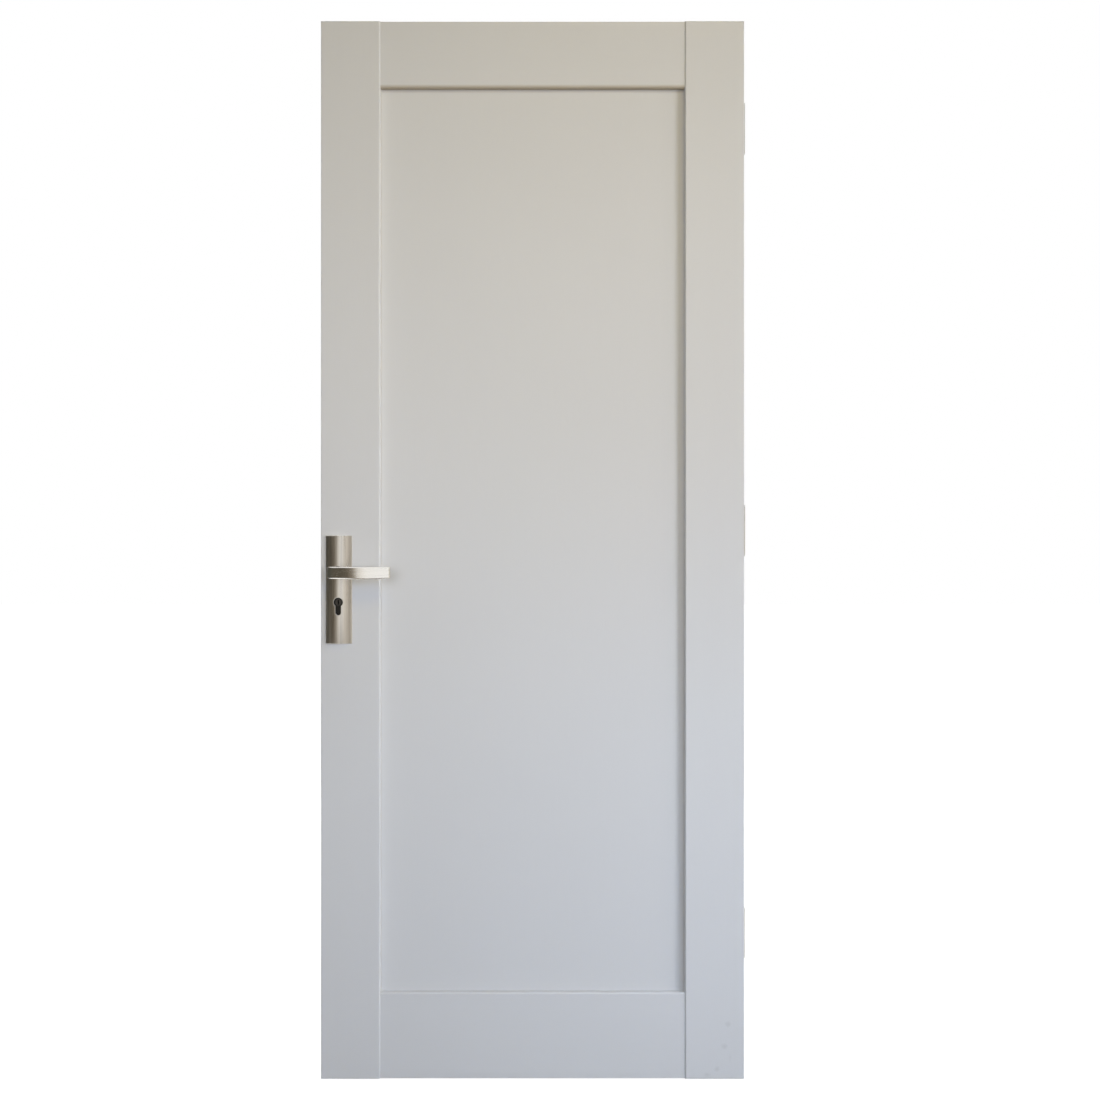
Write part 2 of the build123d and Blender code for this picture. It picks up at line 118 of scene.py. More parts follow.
class Effects:
    """Node groups that several finishes share, each built once."""

    def __init__(self) -> None:
        """Builds every shared group."""
        self.film = self._film()
        self.lines = self._lines()
        self.smudge = self._smudge()
        self.edges = self._edges()

    @staticmethod
    def _open(
        name: str, inputs: dict[str, str], outputs: dict[str, str]
    ) -> tuple[Graph, bpy.types.Node, bpy.types.Node]:
        """Starts a group.

        Args:
            name: Name of the group.
            inputs: Input name to socket type.
            outputs: Output name to socket type.

        Returns:
            The group's graph, its input node and its output node.
        """
        tree = bpy.data.node_groups.new(name, "ShaderNodeTree")
        for socket, kind in inputs.items():
            tree.interface.new_socket(socket, in_out="INPUT", socket_type=kind)
        for socket, kind in outputs.items():
            tree.interface.new_socket(socket, in_out="OUTPUT", socket_type=kind)
        graph = Graph(tree)
        return graph, graph.add("NodeGroupInput"), graph.add("NodeGroupOutput")

    def _film(self) -> bpy.types.ShaderNodeTree:
        """Roller stipple, fine strokes and slow unevenness of a paint film.

        Returns:
            The group.
        """
        graph, given, result = self._open(
            "paint_film",
            {"Place": "NodeSocketVector", "Stretch": "NodeSocketVector"},
            {"Height": "NodeSocketFloat", "Cloud": "NodeSocketFloat", "Gloss": "NodeSocketFloat"},
        )
        place = given.outputs["Place"]
        drawn = graph.vector("MULTIPLY", place, given.outputs["Stretch"]).outputs[0]
        stipple = graph.noise(place, 620.0, 2.0)
        peel = graph.noise(place, 190.0, 1.0)
        strokes = graph.noise(drawn, 420.0, 4.0, 0.6)
        rough = graph.math("MULTIPLY_ADD", stipple, 0.5, graph.math("MULTIPLY", peel, 0.3))
        height = graph.math("MULTIPLY_ADD", strokes, 0.35, rough)
        slow = graph.noise(place, 2.6, 3.0)
        cloud = graph.math("MULTIPLY_ADD", strokes, 0.35, graph.math("MULTIPLY", slow, 0.65))
        gloss = graph.noise(place, 38.0, 3.0)
        graph.tree.links.new(height, result.inputs["Height"])
        graph.tree.links.new(cloud, result.inputs["Cloud"])
        graph.tree.links.new(gloss, result.inputs["Gloss"])
        return graph.tree

    def _lines(self) -> bpy.types.ShaderNodeTree:
        """Fine parallel scratches of brushed metal, with a slower hand-worn cloud.

        Returns:
            The group.
        """
        graph, given, result = self._open(
            "brush_lines",
            {"Place": "NodeSocketVector", "Stretch": "NodeSocketVector"},
            {"Height": "NodeSocketFloat", "Streak": "NodeSocketFloat", "Worn": "NodeSocketFloat"},
        )
        place = given.outputs["Place"]
        drawn = graph.vector("MULTIPLY", place, given.outputs["Stretch"]).outputs[0]
        fine = graph.noise(drawn, 3600.0, 3.0, 0.65)
        broad = graph.noise(drawn, 230.0, 3.0, 0.6)
        height = graph.math("MULTIPLY_ADD", broad, 5.0, fine)
        crisp = graph.remap(broad, 0.36, 0.64, 0.0, 1.0)
        streak = graph.math("MULTIPLY_ADD", crisp, 0.6, graph.math("MULTIPLY", fine, 0.4))
        worn = graph.noise(drawn, 120.0, 3.0)
        graph.tree.links.new(height, result.inputs["Height"])
        graph.tree.links.new(streak, result.inputs["Streak"])
        graph.tree.links.new(worn, result.inputs["Worn"])
        return graph.tree

    def _smudge(self) -> bpy.types.ShaderNodeTree:
        """One soft rubbed-on mark with a broken outline.

        Returns:
            The group.
        """
        graph, given, result = self._open(
            "smudge",
            {
                "Place": "NodeSocketVector",
                "Centre": "NodeSocketVector",
                "Size": "NodeSocketVector",
                "Weight": "NodeSocketFloat",
            },
            {"Mask": "NodeSocketFloat"},
        )
        place = given.outputs["Place"]
        off = graph.vector("SUBTRACT", place, given.outputs["Centre"]).outputs[0]
        scaled = graph.vector("DIVIDE", off, given.outputs["Size"]).outputs[0]
        far = graph.vector("LENGTH", scaled).outputs["Value"]
        ragged = graph.noise(place, 90.0, 4.0, 0.6)
        edge = graph.math("MULTIPLY_ADD", ragged, 1.3, far)
        soft = graph.remap(edge, 0.75, 1.7, 1.0, 0.0)
        mask = graph.math("MULTIPLY", soft, given.outputs["Weight"])
        graph.tree.links.new(mask, result.inputs["Mask"])
        return graph.tree

    def _edges(self) -> bpy.types.ShaderNodeTree:
        """Eased edges: a rounded normal and a mask that is strongest on an arris.

        Returns:
            The group.
        """
        graph, given, result = self._open(
            "eased_edges",
            {"Radius": "NodeSocketFloat"},
            {"Normal": "NodeSocketVector", "Mask": "NodeSocketFloat"},
        )
        eased = graph.add("ShaderNodeBevel", {"Radius": given.outputs["Radius"]}, samples=6)
        flat = graph.add("ShaderNodeNewGeometry").outputs["Normal"]
        same = graph.vector("DOT_PRODUCT", eased.outputs[0], flat).outputs["Value"]
        mask = graph.remap(same, 1.0, 0.86, 0.0, 1.0)
        graph.tree.links.new(eased.outputs[0], result.inputs["Normal"])
        graph.tree.links.new(mask, result.inputs["Mask"])
        return graph.tree


@dataclass(frozen=True)
class Mark:
    """A faint grey mark on the paint: its centre and reach in metres, and its weight."""

    centre: Triple
    reach: Triple
    weight: float


@dataclass(frozen=True)
class Seam:
    """A joint line of dust and painted shade on the paint: the axis it lies across, its place, reach
    and weight.
    """

    axis: int
    place: float
    reach: float
    weight: float


@dataclass(frozen=True)
class Finish:
    """What every finish has: its name and its colour."""

    name: str
    colour: Colour

    def start(self) -> tuple[bpy.types.Material, Graph, bpy.types.Node, bpy.types.NodeSocket]:
        """Starts a material.

        Returns:
            The material, its graph, its shader and the place socket its patterns read.
        """
        material = bpy.data.materials.new(self.name)
        material.use_nodes = True
        graph = Graph(material.node_tree)
        shader = material.node_tree.nodes["Principled BSDF"]
        place = graph.add("ShaderNodeTexCoord").outputs["Object"]
        return material, graph, shader, place

    def shade(self, share: float) -> tuple[float, float, float, float]:
        """The colour made lighter or darker by a share, with full alpha."""
        return (*(part * share for part in self.colour), 1.0)


@dataclass(frozen=True)
class SatinPaint(Finish):
    """White satin paint, brushed and rolled along one axis."""

    lay: Lay = Lay.ALONG_Z
    roughness: tuple[float, float] = (0.36, 0.47)
    edge_radius: float = 0.7 * MM
    marks: tuple[Mark, ...] = ()
    mark_colour: Colour = (0.30, 0.29, 0.28)
    seams: tuple[Seam, ...] = ()
    # Brown of the joint lines: dust, and painted shade where the recess corners and the top rail
    # shade the panel.
    seam_colour: Colour = (0.40, 0.31, 0.18)

    def make(self, effects: Effects) -> bpy.types.Material:
        """Builds the paint.

        Args:
            effects: The shared node groups.

        Returns:
            The material.
        """
        material, graph, shader, place = self.start()
        film = graph.group(effects.film, {"Place": place, "Stretch": self.lay.value})
        eased = graph.group(effects.edges, {"Radius": self.edge_radius})
        colour = graph.mix(film.outputs["Cloud"], self.shade(0.975), self.shade(1.02))
        worn = graph.math("MULTIPLY", eased.outputs["Mask"], film.outputs["Gloss"])
        colour = graph.mix(graph.math("MULTIPLY", worn, 0.12), colour, self.shade(0.72))
        for mark in self.marks:
            values = {"Place": place, "Centre": mark.centre, "Size": mark.reach}
            mask = graph.group(effects.smudge, {**values, "Weight": mark.weight})
            colour = graph.mix(mask.outputs["Mask"], colour, (*self.mark_colour, 1.0))
        # Joint lines: dust, and painted shade in the recess corners and under the top rail.
        if self.seams:
            dust_and_shade = self._dust_and_shade(graph, place)
            colour = graph.mix(dust_and_shade, colour, (*self.seam_colour, 1.0))
        low, high = self.roughness
        gloss = graph.remap(film.outputs["Gloss"], 0.3, 0.7, low, high)
        bump = graph.add(
            "ShaderNodeBump",
            {
                "Strength": 0.22,
                "Distance": 0.12 * MM,
                "Height": film.outputs["Height"],
                "Normal": eased.outputs["Normal"],
            },
        )
        graph.tree.links.new(colour, shader.inputs["Base Color"])
        graph.tree.links.new(gloss, shader.inputs["Roughness"])
        graph.tree.links.new(bump.outputs[0], shader.inputs["Normal"])
        shader.inputs["IOR"].default_value = 1.47
        return material

    def _dust_and_shade(self, graph: Graph, place: bpy.types.NodeSocket) -> bpy.types.NodeSocket:
        """Lines of dust and painted shade where the panel meets its framing.

        Args:
            graph: The material's graph.
            place: Object coordinates.

        Returns:
            A mask that is strongest at the joints.
        """
        parts = graph.add("ShaderNodeSeparateXYZ", {0: place})
        dust_and_shade = 0.0
        for seam in self.seams:
            off = graph.math("SUBTRACT", parts.outputs[seam.axis], seam.place)
            line = graph.remap(graph.math("ABSOLUTE", off), 0.0, seam.reach, seam.weight, 0.0)
            dust_and_shade = graph.math("MAXIMUM", dust_and_shade, line)
        return dust_and_shade


@dataclass(frozen=True)
class BrushedMetal(Finish):
    """Metal with fine brush lines along one axis, and a bend that may fade out along X."""

    lay: Lay = Lay.ALONG_Z
    roughness: tuple[float, float] = (0.26, 0.34)
    line_depth: float = 0.10
    edge_radius: float = 0.35 * MM
    # Lighter metal on the arrises: a painted highlight where edges catch light, with some polish
    # wear.
    edge_highlight: float = 0.25
    contrast: float = 0.10
    bend_span: tuple[float, float] | None = None
    bend_slope: float = 0.27

    def make(self, effects: Effects) -> bpy.types.Material:
        """Builds the metal.

        Args:
            effects: The shared node groups.

        Returns:
            The material.
        """
        material, graph, shader, place = self.start()
        lines = graph.group(effects.lines, {"Place": place, "Stretch": self.lay.value})
        eased = graph.group(effects.edges, {"Radius": self.edge_radius})
        dark, light = self.shade(1.0 - self.contrast), self.shade(1.0 + self.contrast)
        colour = graph.mix(lines.outputs["Streak"], dark, light)
        # Painted highlight: the arrises are made lighter, as edges that catch light and are
        # polished.
        highlight = graph.math("MULTIPLY", eased.outputs["Mask"], self.edge_highlight)
        colour = graph.mix(highlight, colour, self.shade(1.25))
        mixed = graph.math("MULTIPLY_ADD", lines.outputs["Streak"], 0.5, lines.outputs["Worn"])
        low, high = self.roughness
        rough = graph.remap(mixed, 0.5, 1.0, low, high)
        bump = graph.add(
            "ShaderNodeBump",
            {
                "Strength": self.line_depth,
                "Distance": 0.05 * MM,
                "Height": lines.outputs["Height"],
                "Normal": eased.outputs["Normal"],
            },
        )
        normal = bump.outputs[0]
        if self.bend_span:
            normal = self._bend(graph, place, normal)
        graph.tree.links.new(colour, shader.inputs["Base Color"])
        graph.tree.links.new(rough, shader.inputs["Roughness"])
        graph.tree.links.new(normal, shader.inputs["Normal"])
        shader.inputs["Metallic"].default_value = 1.0
        return material

    def _bend(
        self, graph: Graph, place: bpy.types.NodeSocket, normal: bpy.types.NodeSocket
    ) -> bpy.types.NodeSocket:
        """Leans the normal towards -X, less and less along the span, as a long bend does.

        Args:
            graph: The material's graph.
            place: Object coordinates.
            normal: The normal so far.

        Returns:
            The leaning normal.
        """
        across = graph.add("ShaderNodeSeparateXYZ", {0: place}).outputs[0]
        start, end = self.bend_span
        lean = graph.remap(across, start, end, -self.bend_slope, 0.0)
        begun = graph.remap(across, start - 12.0 * MM, start + 4.0 * MM, 0.0, 1.0)
        tilt = graph.add("ShaderNodeCombineXYZ", {0: graph.math("MULTIPLY", lean, begun)})
        turned = graph.add(
            "ShaderNodeVectorTransform",
            {0: tilt.outputs[0]},
            vector_type="VECTOR",
            convert_from="OBJECT",
            convert_to="WORLD",
        )
        return graph.vector(
            "NORMALIZE", graph.vector("ADD", normal, turned.outputs[0]).outputs[0]
        ).outputs[0]


@dataclass(frozen=True)
class BlackNylon(Finish):
    """Moulded nylon with a fine eroded grain."""

    def make(self, effects: Effects) -> bpy.types.Material:
        """Builds the nylon.

        Args:
            effects: The shared node groups.

        Returns:
            The material.
        """
        material, graph, shader, place = self.start()
        film = graph.group(effects.film, {"Place": place, "Stretch": (1.0, 1.0, 1.0)})
        eased = graph.group(effects.edges, {"Radius": 0.3 * MM})
        colour = graph.mix(film.outputs["Cloud"], self.shade(0.8), self.shade(1.3))
        rough = graph.remap(film.outputs["Gloss"], 0.3, 0.7, 0.42, 0.58)
        sockets = {"Strength": 0.3, "Distance": 0.08 * MM, "Height": film.outputs["Height"]}
        bump = graph.add("ShaderNodeBump", {**sockets, "Normal": eased.outputs["Normal"]})
        graph.tree.links.new(colour, shader.inputs["Base Color"])
        graph.tree.links.new(rough, shader.inputs["Roughness"])
        graph.tree.links.new(bump.outputs[0], shader.inputs["Normal"])
        return material


def dress(nodes: tuple[str, ...], material: bpy.types.Material) -> None:
    """Gives CAD nodes one finish.

    Args:
        nodes: Names of the nodes.
        material: The finish.
    """
    for name in nodes:
        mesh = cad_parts[name].data
        mesh.materials.clear()
        mesh.materials.append(material)
        LOG.info("dressed %s with %s", name, material.name)


def add_piece(
    name: str, shape: bmesh.types.BMesh, body: str, material: bpy.types.Material
) -> bpy.types.Object:
    """Turns a finished shape into a piece that rides on a body.

    Args:
        name: Name of the piece.
        shape: The shape, in its place; it is freed.
        body: The CAD body that carries it.
        material: The finish.

    Returns:
        The piece.
    """
    mesh = bpy.data.meshes.new(name)
    shape.to_mesh(mesh)
    shape.free()
    mesh.materials.append(material)
    piece = bpy.data.objects.new(name, mesh)
    bpy.context.scene.collection.objects.link(piece)
    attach(piece, body)
    LOG.info("made %s: %d faces", name, len(mesh.polygons))
    return piece


@dataclass(frozen=True)
class CrossScrew:
    """A countersunk screw with a cross recess, its head face at z = 0 looking along +Z."""

    head_radius: float
    shank_radius: float
    head_depth: float
    length: float
    recess_reach: float
    slot_half: float
    recess_depth: float
    segments: int = 32
    rim_round: float = 0.12 * MM

    def shape(self) -> bmesh.types.BMesh:
        """The screw as a closed shape.

        Returns:
            The shape.
        """
        shape = bmesh.new()
        grid = bmesh.ops.create_grid(
            shape, x_segments=3, y_segments=3, size=self.recess_reach
        )["verts"]
        for vert in grid:
            for axis in (0, 1):
                if abs(vert.co[axis]) < 0.9 * self.recess_reach:
                    vert.co[axis] = math.copysign(self.slot_half, vert.co[axis])
        square = [edge for edge in shape.edges if edge.is_boundary]
        cross = [face for face in shape.faces if self._in_cross(face.calc_center_median())]
        rim = bmesh.ops.create_circle(shape, segments=self.segments, radius=self.head_radius)
        ring = list({edge for vert in rim["verts"] for edge in vert.link_edges})
        bmesh.ops.bridge_loops(shape, edges=square + ring)
        self._sink_cross(shape, cross)
        shank = self._draw(shape, ring, self.shank_radius / self.head_radius, self.head_depth)
        tip = self._draw(shape, shank, 1.0, self.length - self.head_depth)
        bmesh.ops.edgeloop_fill(shape, edges=tip)
        bmesh.ops.recalc_face_normals(shape, faces=shape.faces)
        bmesh.ops.bevel(
            shape,
            geom=ring,
            offset=self.rim_round,
            offset_type="OFFSET",
            affect="EDGES",
            segments=2,
            profile=0.5,
            material=-1,
        )
        return shape

    def _in_cross(self, middle: Vector) -> bool:
        """Whether a face's middle lies on an arm of the recess."""
        return abs(middle.x) < self.slot_half or abs(middle.y) < self.slot_half

    def _sink_cross(self, shape: bmesh.types.BMesh, cross: list[bmesh.types.BMFace]) -> None:
        """Pushes the cross-shaped faces down into the head, tapering inwards.

        Args:
            shape: The screw so far.
            cross: The faces of the cross.
        """
        made = bmesh.ops.extrude_face_region(shape, geom=cross)["geom"]
        floor = [part for part in made if isinstance(part, bmesh.types.BMVert)]
        left = [face for face in cross if face.is_valid]
        if left:
            bmesh.ops.delete(shape, geom=left, context="FACES")
        bmesh.ops.scale(shape, vec=(0.78, 0.78, 1.0), verts=floor)
        bmesh.ops.translate(shape, vec=(0.0, 0.0, -self.recess_depth), verts=floor)

    @staticmethod
    def _draw(
        shape: bmesh.types.BMesh, ring: list[bmesh.types.BMEdge], share: float, depth: float
    ) -> list[bmesh.types.BMEdge]:
        """Draws a ring of edges down and in.

        Args:
            shape: The screw so far.
            ring: Edges of the ring.
            share: New radius as a share of the old.
            depth: How far down the new ring lies.

        Returns:
            The edges of the new ring.
        """
        made = bmesh.ops.extrude_edge_only(shape, edges=ring)["geom"]
        verts = [part for part in made if isinstance(part, bmesh.types.BMVert)]
        bmesh.ops.scale(shape, vec=(share, share, 1.0), verts=verts)
        bmesh.ops.translate(shape, vec=(0.0, 0.0, -depth), verts=verts)
        kept = set(verts)
        edges = [part for part in made if isinstance(part, bmesh.types.BMEdge)]
        return [edge for edge in edges if set(edge.verts) <= kept]


@dataclass(frozen=True)
class GrubScrew:
    """A headless screw with a hexagon socket, its face at z = 0 looking along +Z."""

    radius: float = 1.85 * MM
    socket_radius: float = 1.15 * MM
    socket_depth: float = 1.6 * MM
    length: float = 4.6 * MM
    segments: int = 24

    def shape(self) -> bmesh.types.BMesh:
        """The screw as a closed shape.

        Returns:
            The shape.
        """
        shape = bmesh.new()
        rim = bmesh.ops.create_circle(shape, segments=self.segments, radius=self.radius)
        ring = list({edge for vert in rim["verts"] for edge in vert.link_edges})
        hexagon = bmesh.ops.create_circle(shape, segments=6, radius=self.socket_radius)
        socket = list({edge for vert in hexagon["verts"] for edge in vert.link_edges})
        bmesh.ops.bridge_loops(shape, edges=ring + socket)
        for edges, depth in ((socket, self.socket_depth), (ring, self.length)):
            made = bmesh.ops.extrude_edge_only(shape, edges=edges)["geom"]
            verts = [part for part in made if isinstance(part, bmesh.types.BMVert)]
            bmesh.ops.translate(shape, vec=(0.0, 0.0, -depth), verts=verts)
            kept = set(verts)
            lines = [part for part in made if isinstance(part, bmesh.types.BMEdge)]
            end = [edge for edge in lines if set(edge.verts) <= kept]
            bmesh.ops.edgeloop_fill(shape, edges=end)
        bmesh.ops.recalc_face_normals(shape, faces=shape.faces)
        return shape


def gather(
    single: CrossScrew | GrubScrew, places: list[Matrix], turn: float = math.radians(37.0)
) -> bmesh.types.BMesh:
    """One shape with a copy of a screw at each place, each turned differently.

    Args:
        single: The screw.
        places: Where each head's middle is, with local +Z pointing out of the head.
        turn: How far each next screw is turned on its own axis.

    Returns:
        The joined shape.
    """
    joined = bmesh.new()
    scratch = bpy.data.meshes.new("screw_scratch")
    for count, place in enumerate(places):
        shape = single.shape()
        shape.transform(place @ Matrix.Rotation(turn * count, 4, "Z"))
        shape.to_mesh(scratch)
        shape.free()
        joined.from_mesh(scratch)
    bpy.data.meshes.remove(scratch)
    return joined


def facing(point: Vector, direction: Triple) -> Matrix:
    """A place at a point whose local +Z looks along a direction."""
    turn = Vector(direction).to_track_quat("Z", "Y").to_matrix().to_4x4()
    return Matrix.Translation(point) @ turn


@dataclass
class DoorLeaf:
    """The painted framing and panel."""

    white: Colour = (0.66, 0.66, 0.665)
    stiles: tuple[str, ...] = ("lock_stile", "hinge_stile")
    rails: tuple[str, ...] = ("top_rail", "bottom_rail")
    panel: str = "panel"

    def marks(self) -> tuple[Mark, ...]:
        """Faint scuffs low on the hinge stile's front face.

        Returns:
            The marks.
        """
        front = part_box("hinge_stile")[0].y
        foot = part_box("hinge_stile")[0].z
        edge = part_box("hinge_stile")[1].x
        places = (
            (31.0, 105.0, 7.0, 6.0, 0.20),
            (38.0, 63.0, 7.0, 6.5, 0.24),
            (52.0, 19.0, 6.0, 6.0, 0.22),
            (71.0, 8.0, 8.0, 4.0, 0.18),
            (27.0, 40.0, 4.0, 9.0, 0.10),
        )
        return tuple(
            Mark(
                (edge - inset * MM, front, foot + rise * MM),
                (wide * MM, 6.0 * MM, tall * MM),
                weight,
            )
            for inset, rise, wide, tall, weight in places
        )

    def seams(self) -> tuple[Seam, ...]:
        """Joint lines of dust and painted shade where the panel meets the stiles, and a wider band
        of painted shade under the top rail.

        Returns:
            The joint lines.
        """
        return (
            Seam(0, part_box("lock_stile")[1].x, 1.1 * MM, 0.34),
            Seam(0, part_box("hinge_stile")[0].x, 1.1 * MM, 0.34),
            self.head_shade_seam(0.45),
        )

    @staticmethod
    def head_shade_seam(weight: float) -> Seam:
        """Painted brown shade along the foot of the top rail, where the rail shades the recess below
        it.
        """
        return Seam(2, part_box("top_rail")[0].z, 6.5 * MM, weight)

    def build(self, effects: Effects) -> None:
        """Paints the leaf.

        Args:
            effects: The shared node groups.
        """
        upright = SatinPaint("stile_paint", self.white, Lay.ALONG_Z, marks=self.marks())
        # The top rail's foot gets a strong band of painted brown shade.
        level = SatinPaint("rail_paint", self.white, Lay.ALONG_X, seams=(self.head_shade_seam(0.85),))
        # The panel gets joint lines of dust and painted shade, darkest under the top rail.
        field = SatinPaint("panel_paint", self.white, Lay.ALONG_Z, seams=self.seams())
        dress(self.stiles, upright.make(effects))
        dress(self.rails, level.make(effects))
        dress((self.panel,), field.make(effects))


@dataclass
class HandleSet:
    """Backplates, levers and bearing rings on both faces, with the levers' grub screws."""

    steel: Colour = (0.64, 0.61, 0.56)
    lever_steel: Colour = (0.82, 0.80, 0.76)
    plates: tuple[str, ...] = ("front_backplate", "back_backplate")
    levers: tuple[str, ...] = ("front_lever", "back_lever")
    bushes: tuple[str, ...] = ("front_neck_bush", "back_neck_bush")
    bend_reach: tuple[float, float] = (10.0 * MM, 60.0 * MM)
    grub_from_face: float = 20.0 * MM
    grub_below_axis: float = 9.3 * MM

    def build(self, effects: Effects) -> None:
        """Dresses the handles and adds their grub screws.

        Args:
            effects: The shared node groups.
        """
        plate = BrushedMetal("plate_steel", self.steel, Lay.ALONG_Z, contrast=0.22)
        axis_x = sum(corner.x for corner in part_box("spindle")) / 2
        lever = BrushedMetal(
            "lever_steel",
            self.lever_steel,
            Lay.ALONG_X,
            roughness=(0.20, 0.28),
            line_depth=0.012,
            edge_highlight=0.0,
            contrast=0.06,
            bend_span=(axis_x + self.bend_reach[0], axis_x + self.bend_reach[1]),
        )
        dress(self.plates, plate.make(effects))
        dress(self.levers, lever.make(effects))
        dress(self.bushes, BlackNylon("bush_nylon", (0.018, 0.018, 0.018)).make(effects))
        self.add_grub_screws(effects)

    def add_grub_screws(self, effects: Effects) -> None:
        """Puts a grub screw in the underside of each lever's neck.

        Args:
            effects: The shared node groups.
        """
        low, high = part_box("spindle")
        axis = (low + high) / 2
        front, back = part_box("lock_stile")[0].y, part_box("lock_stile")[1].y
        below = axis.z - self.grub_below_axis
        places = [
            facing(Vector((axis.x, front - self.grub_from_face, below)), (0, 0, -1)),
            facing(Vector((axis.x, back + self.grub_from_face, below)), (0, 0, -1)),
        ]
        steel = BrushedMetal("grub_steel", (0.16, 0.16, 0.16), Lay.ALONG_Z, (0.35, 0.5))
        shape = gather(GrubScrew(), places)
        add_piece("lever_grub_screws", shape, "handles", steel.make(effects))


@dataclass
class LockSet:
    """Forend, bolts and cylinder, with the screws in the lock edge."""

    zinc: Colour = (0.56, 0.56, 0.55)
    # The cylinder and key plugs are near-black: dark metal that also paints in the shade inside the
    # keyhole.
    nickel: Colour = (0.030, 0.029, 0.027)
    plug_dark_and_shade: Colour = (0.075, 0.071, 0.066)
    works: tuple[str, ...] = ("lock_body", "lock_forend", "spindle")
    bolts: tuple[str, ...] = ("latch_bolt", "dead_bolt")
    cylinder: tuple[str, ...] = ("lock_cylinder",)
    plugs: tuple[str, ...] = ("front_key_plug", "back_key_plug")
    screw_spacing: float = 215.0 * MM
    cylinder_screw_drop: float = 17.0 * MM
    head_sink: float = 0.15 * MM

    def build(self, effects: Effects) -> None:
        """Dresses the lock and adds the screws of its forend.

        Args:
            effects: The shared node groups.
        """
        zinc = BrushedMetal("lock_zinc", self.zinc, Lay.ALONG_Z, (0.30, 0.45)).make(effects)
        dress(self.works, zinc)
        bolt = BrushedMetal("bolt_nickel", (0.60, 0.58, 0.54), Lay.ALONG_Z, (0.18, 0.30))
        dress(self.bolts, bolt.make(effects))
        # Near-black cylinder and plugs: partly painted shade of the keyhole.
        dress(self.cylinder, BrushedMetal("cylinder_dark_and_shade", self.nickel).make(effects))
        plug = BrushedMetal("plug_dark_and_shade", self.plug_dark_and_shade, Lay.ALONG_X, (0.28, 0.42))
        dress(self.plugs, plug.make(effects))
        self.add_screws(zinc)

    def add_screws(self, zinc: bpy.types.Material) -> None:
        """Puts the fixing screws in the forend.

        Args:
            zinc: Finish of the screws.
        """
        low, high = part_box("lock_forend")
        middle = (low + high) / 2
        plug_low, plug_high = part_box("front_key_plug")
        key_z = (plug_low.z + plug_high.z) / 2
        face = low.x + self.head_sink
        fixing = CrossScrew(
            3.85 * MM, 2.0 * MM, 1.8 * MM, 12.0 * MM, 1.9 * MM, 0.42 * MM, 1.1 * MM
        )
        places = [
            facing(Vector((face, middle.y, middle.z + side * self.screw_spacing / 2)), (-1, 0, 0))
            for side in (-1, 1)
        ]
        add_piece("forend_screws", gather(fixing, places), "door", zinc)
        keeper = CrossScrew(
            4.2 * MM, 2.45 * MM, 1.6 * MM, 24.0 * MM, 2.1 * MM, 0.46 * MM, 1.1 * MM
        )
        spot = facing(Vector((face, middle.y, key_z - self.cylinder_screw_drop)), (-1, 0, 0))
        add_piece("cylinder_screw", gather(keeper, [spot]), "door", zinc)


@dataclass
class HingeSet:
    """Three butt hinges, with the screws that fix their door leaves."""

    steel: Colour = (0.60, 0.585, 0.555)
    places: tuple[str, ...] = ("bottom", "middle", "top")
    outer_spacing: float = 74.0 * MM
    inner_spacing: float = 32.0 * MM
    column_offset: float = 6.0 * MM
    head_sink: float = 0.12 * MM

    def build(self, effects: Effects) -> None:
        """Dresses the hinges and adds their screws.

        Args:
            effects: The shared node groups.
        """
        leaf = BrushedMetal("hinge_steel", self.steel, Lay.ALONG_Z, (0.26, 0.40)).make(effects)
        pin = BrushedMetal("pin_steel", self.steel, Lay.ALONG_Z, (0.20, 0.32)).make(effects)
        for place in self.places:
            dress((f"{place}_jamb_leaf", f"{place}_door_leaf"), leaf)
            dress((f"{place}_hinge_pin",), pin)
            self.add_screws(place, leaf)

    def add_screws(self, place: str, steel: bpy.types.Material) -> None:
        """Puts the screws in one hinge's door leaf.

        Args:
            place: Which hinge.
            steel: Finish of the screws.
        """
        low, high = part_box(f"{place}_jamb_leaf")
        middle_z = (low.z + high.z) / 2
        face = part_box("hinge_stile")[1].x - self.head_sink
        spots = [
            (-self.column_offset, -self.outer_spacing / 2),
            (-self.column_offset, self.outer_spacing / 2),
            (self.column_offset, -self.inner_spacing / 2),
            (self.column_offset, self.inner_spacing / 2),
        ]
        screw = CrossScrew(
            4.05 * MM, 2.2 * MM, 1.75 * MM, 26.0 * MM, 2.05 * MM, 0.45 * MM, 1.2 * MM
        )
        matrices = [facing(Vector((face, y, middle_z + z)), (1, 0, 0)) for y, z in spots]
        add_piece(f"{place}_hinge_screws", gather(screw, matrices), "door", steel)


@dataclass(frozen=True)
class Softbox:
    """A soft lamp placed by bearing: degrees right of the front, degrees up, and distance.

    The target is given from the middle of the front face, right and up. The beam is the full
    angle, in degrees, that the grid in front of the lamp lets through.
    """

    name: str
    bearing: float
    rise: float
    distance: float
    target: tuple[float, float]
    size: tuple[float, float]
    beam: float
    power: float
    colour: Colour

    def build(self, middle: Vector) -> None:
        """Hangs the lamp.

        Args:
            middle: Middle of the door's front face.
        """
        lamp = bpy.data.lights.new(self.name, "AREA")
        lamp.shape = "RECTANGLE"
        lamp.size, lamp.size_y = self.size
        lamp.energy = self.power
        lamp.color = self.colour
        lamp.spread = math.radians(self.beam)
        light = bpy.data.objects.new(self.name, lamp)
        bpy.context.scene.collection.objects.link(light)
        across, up = math.radians(self.bearing), math.radians(self.rise)
        level = math.cos(up)
        toward = Vector((math.sin(across) * level, -math.cos(across) * level, math.sin(up)))
        aim = middle + Vector((self.target[0], 0.0, self.target[1]))
        light.location = aim + toward * self.distance
        light.rotation_mode = "QUATERNION"
        light.rotation_quaternion = (-toward).to_track_quat("-Z", "Y")
        light.visible_camera = False
        light.visible_glossy = False


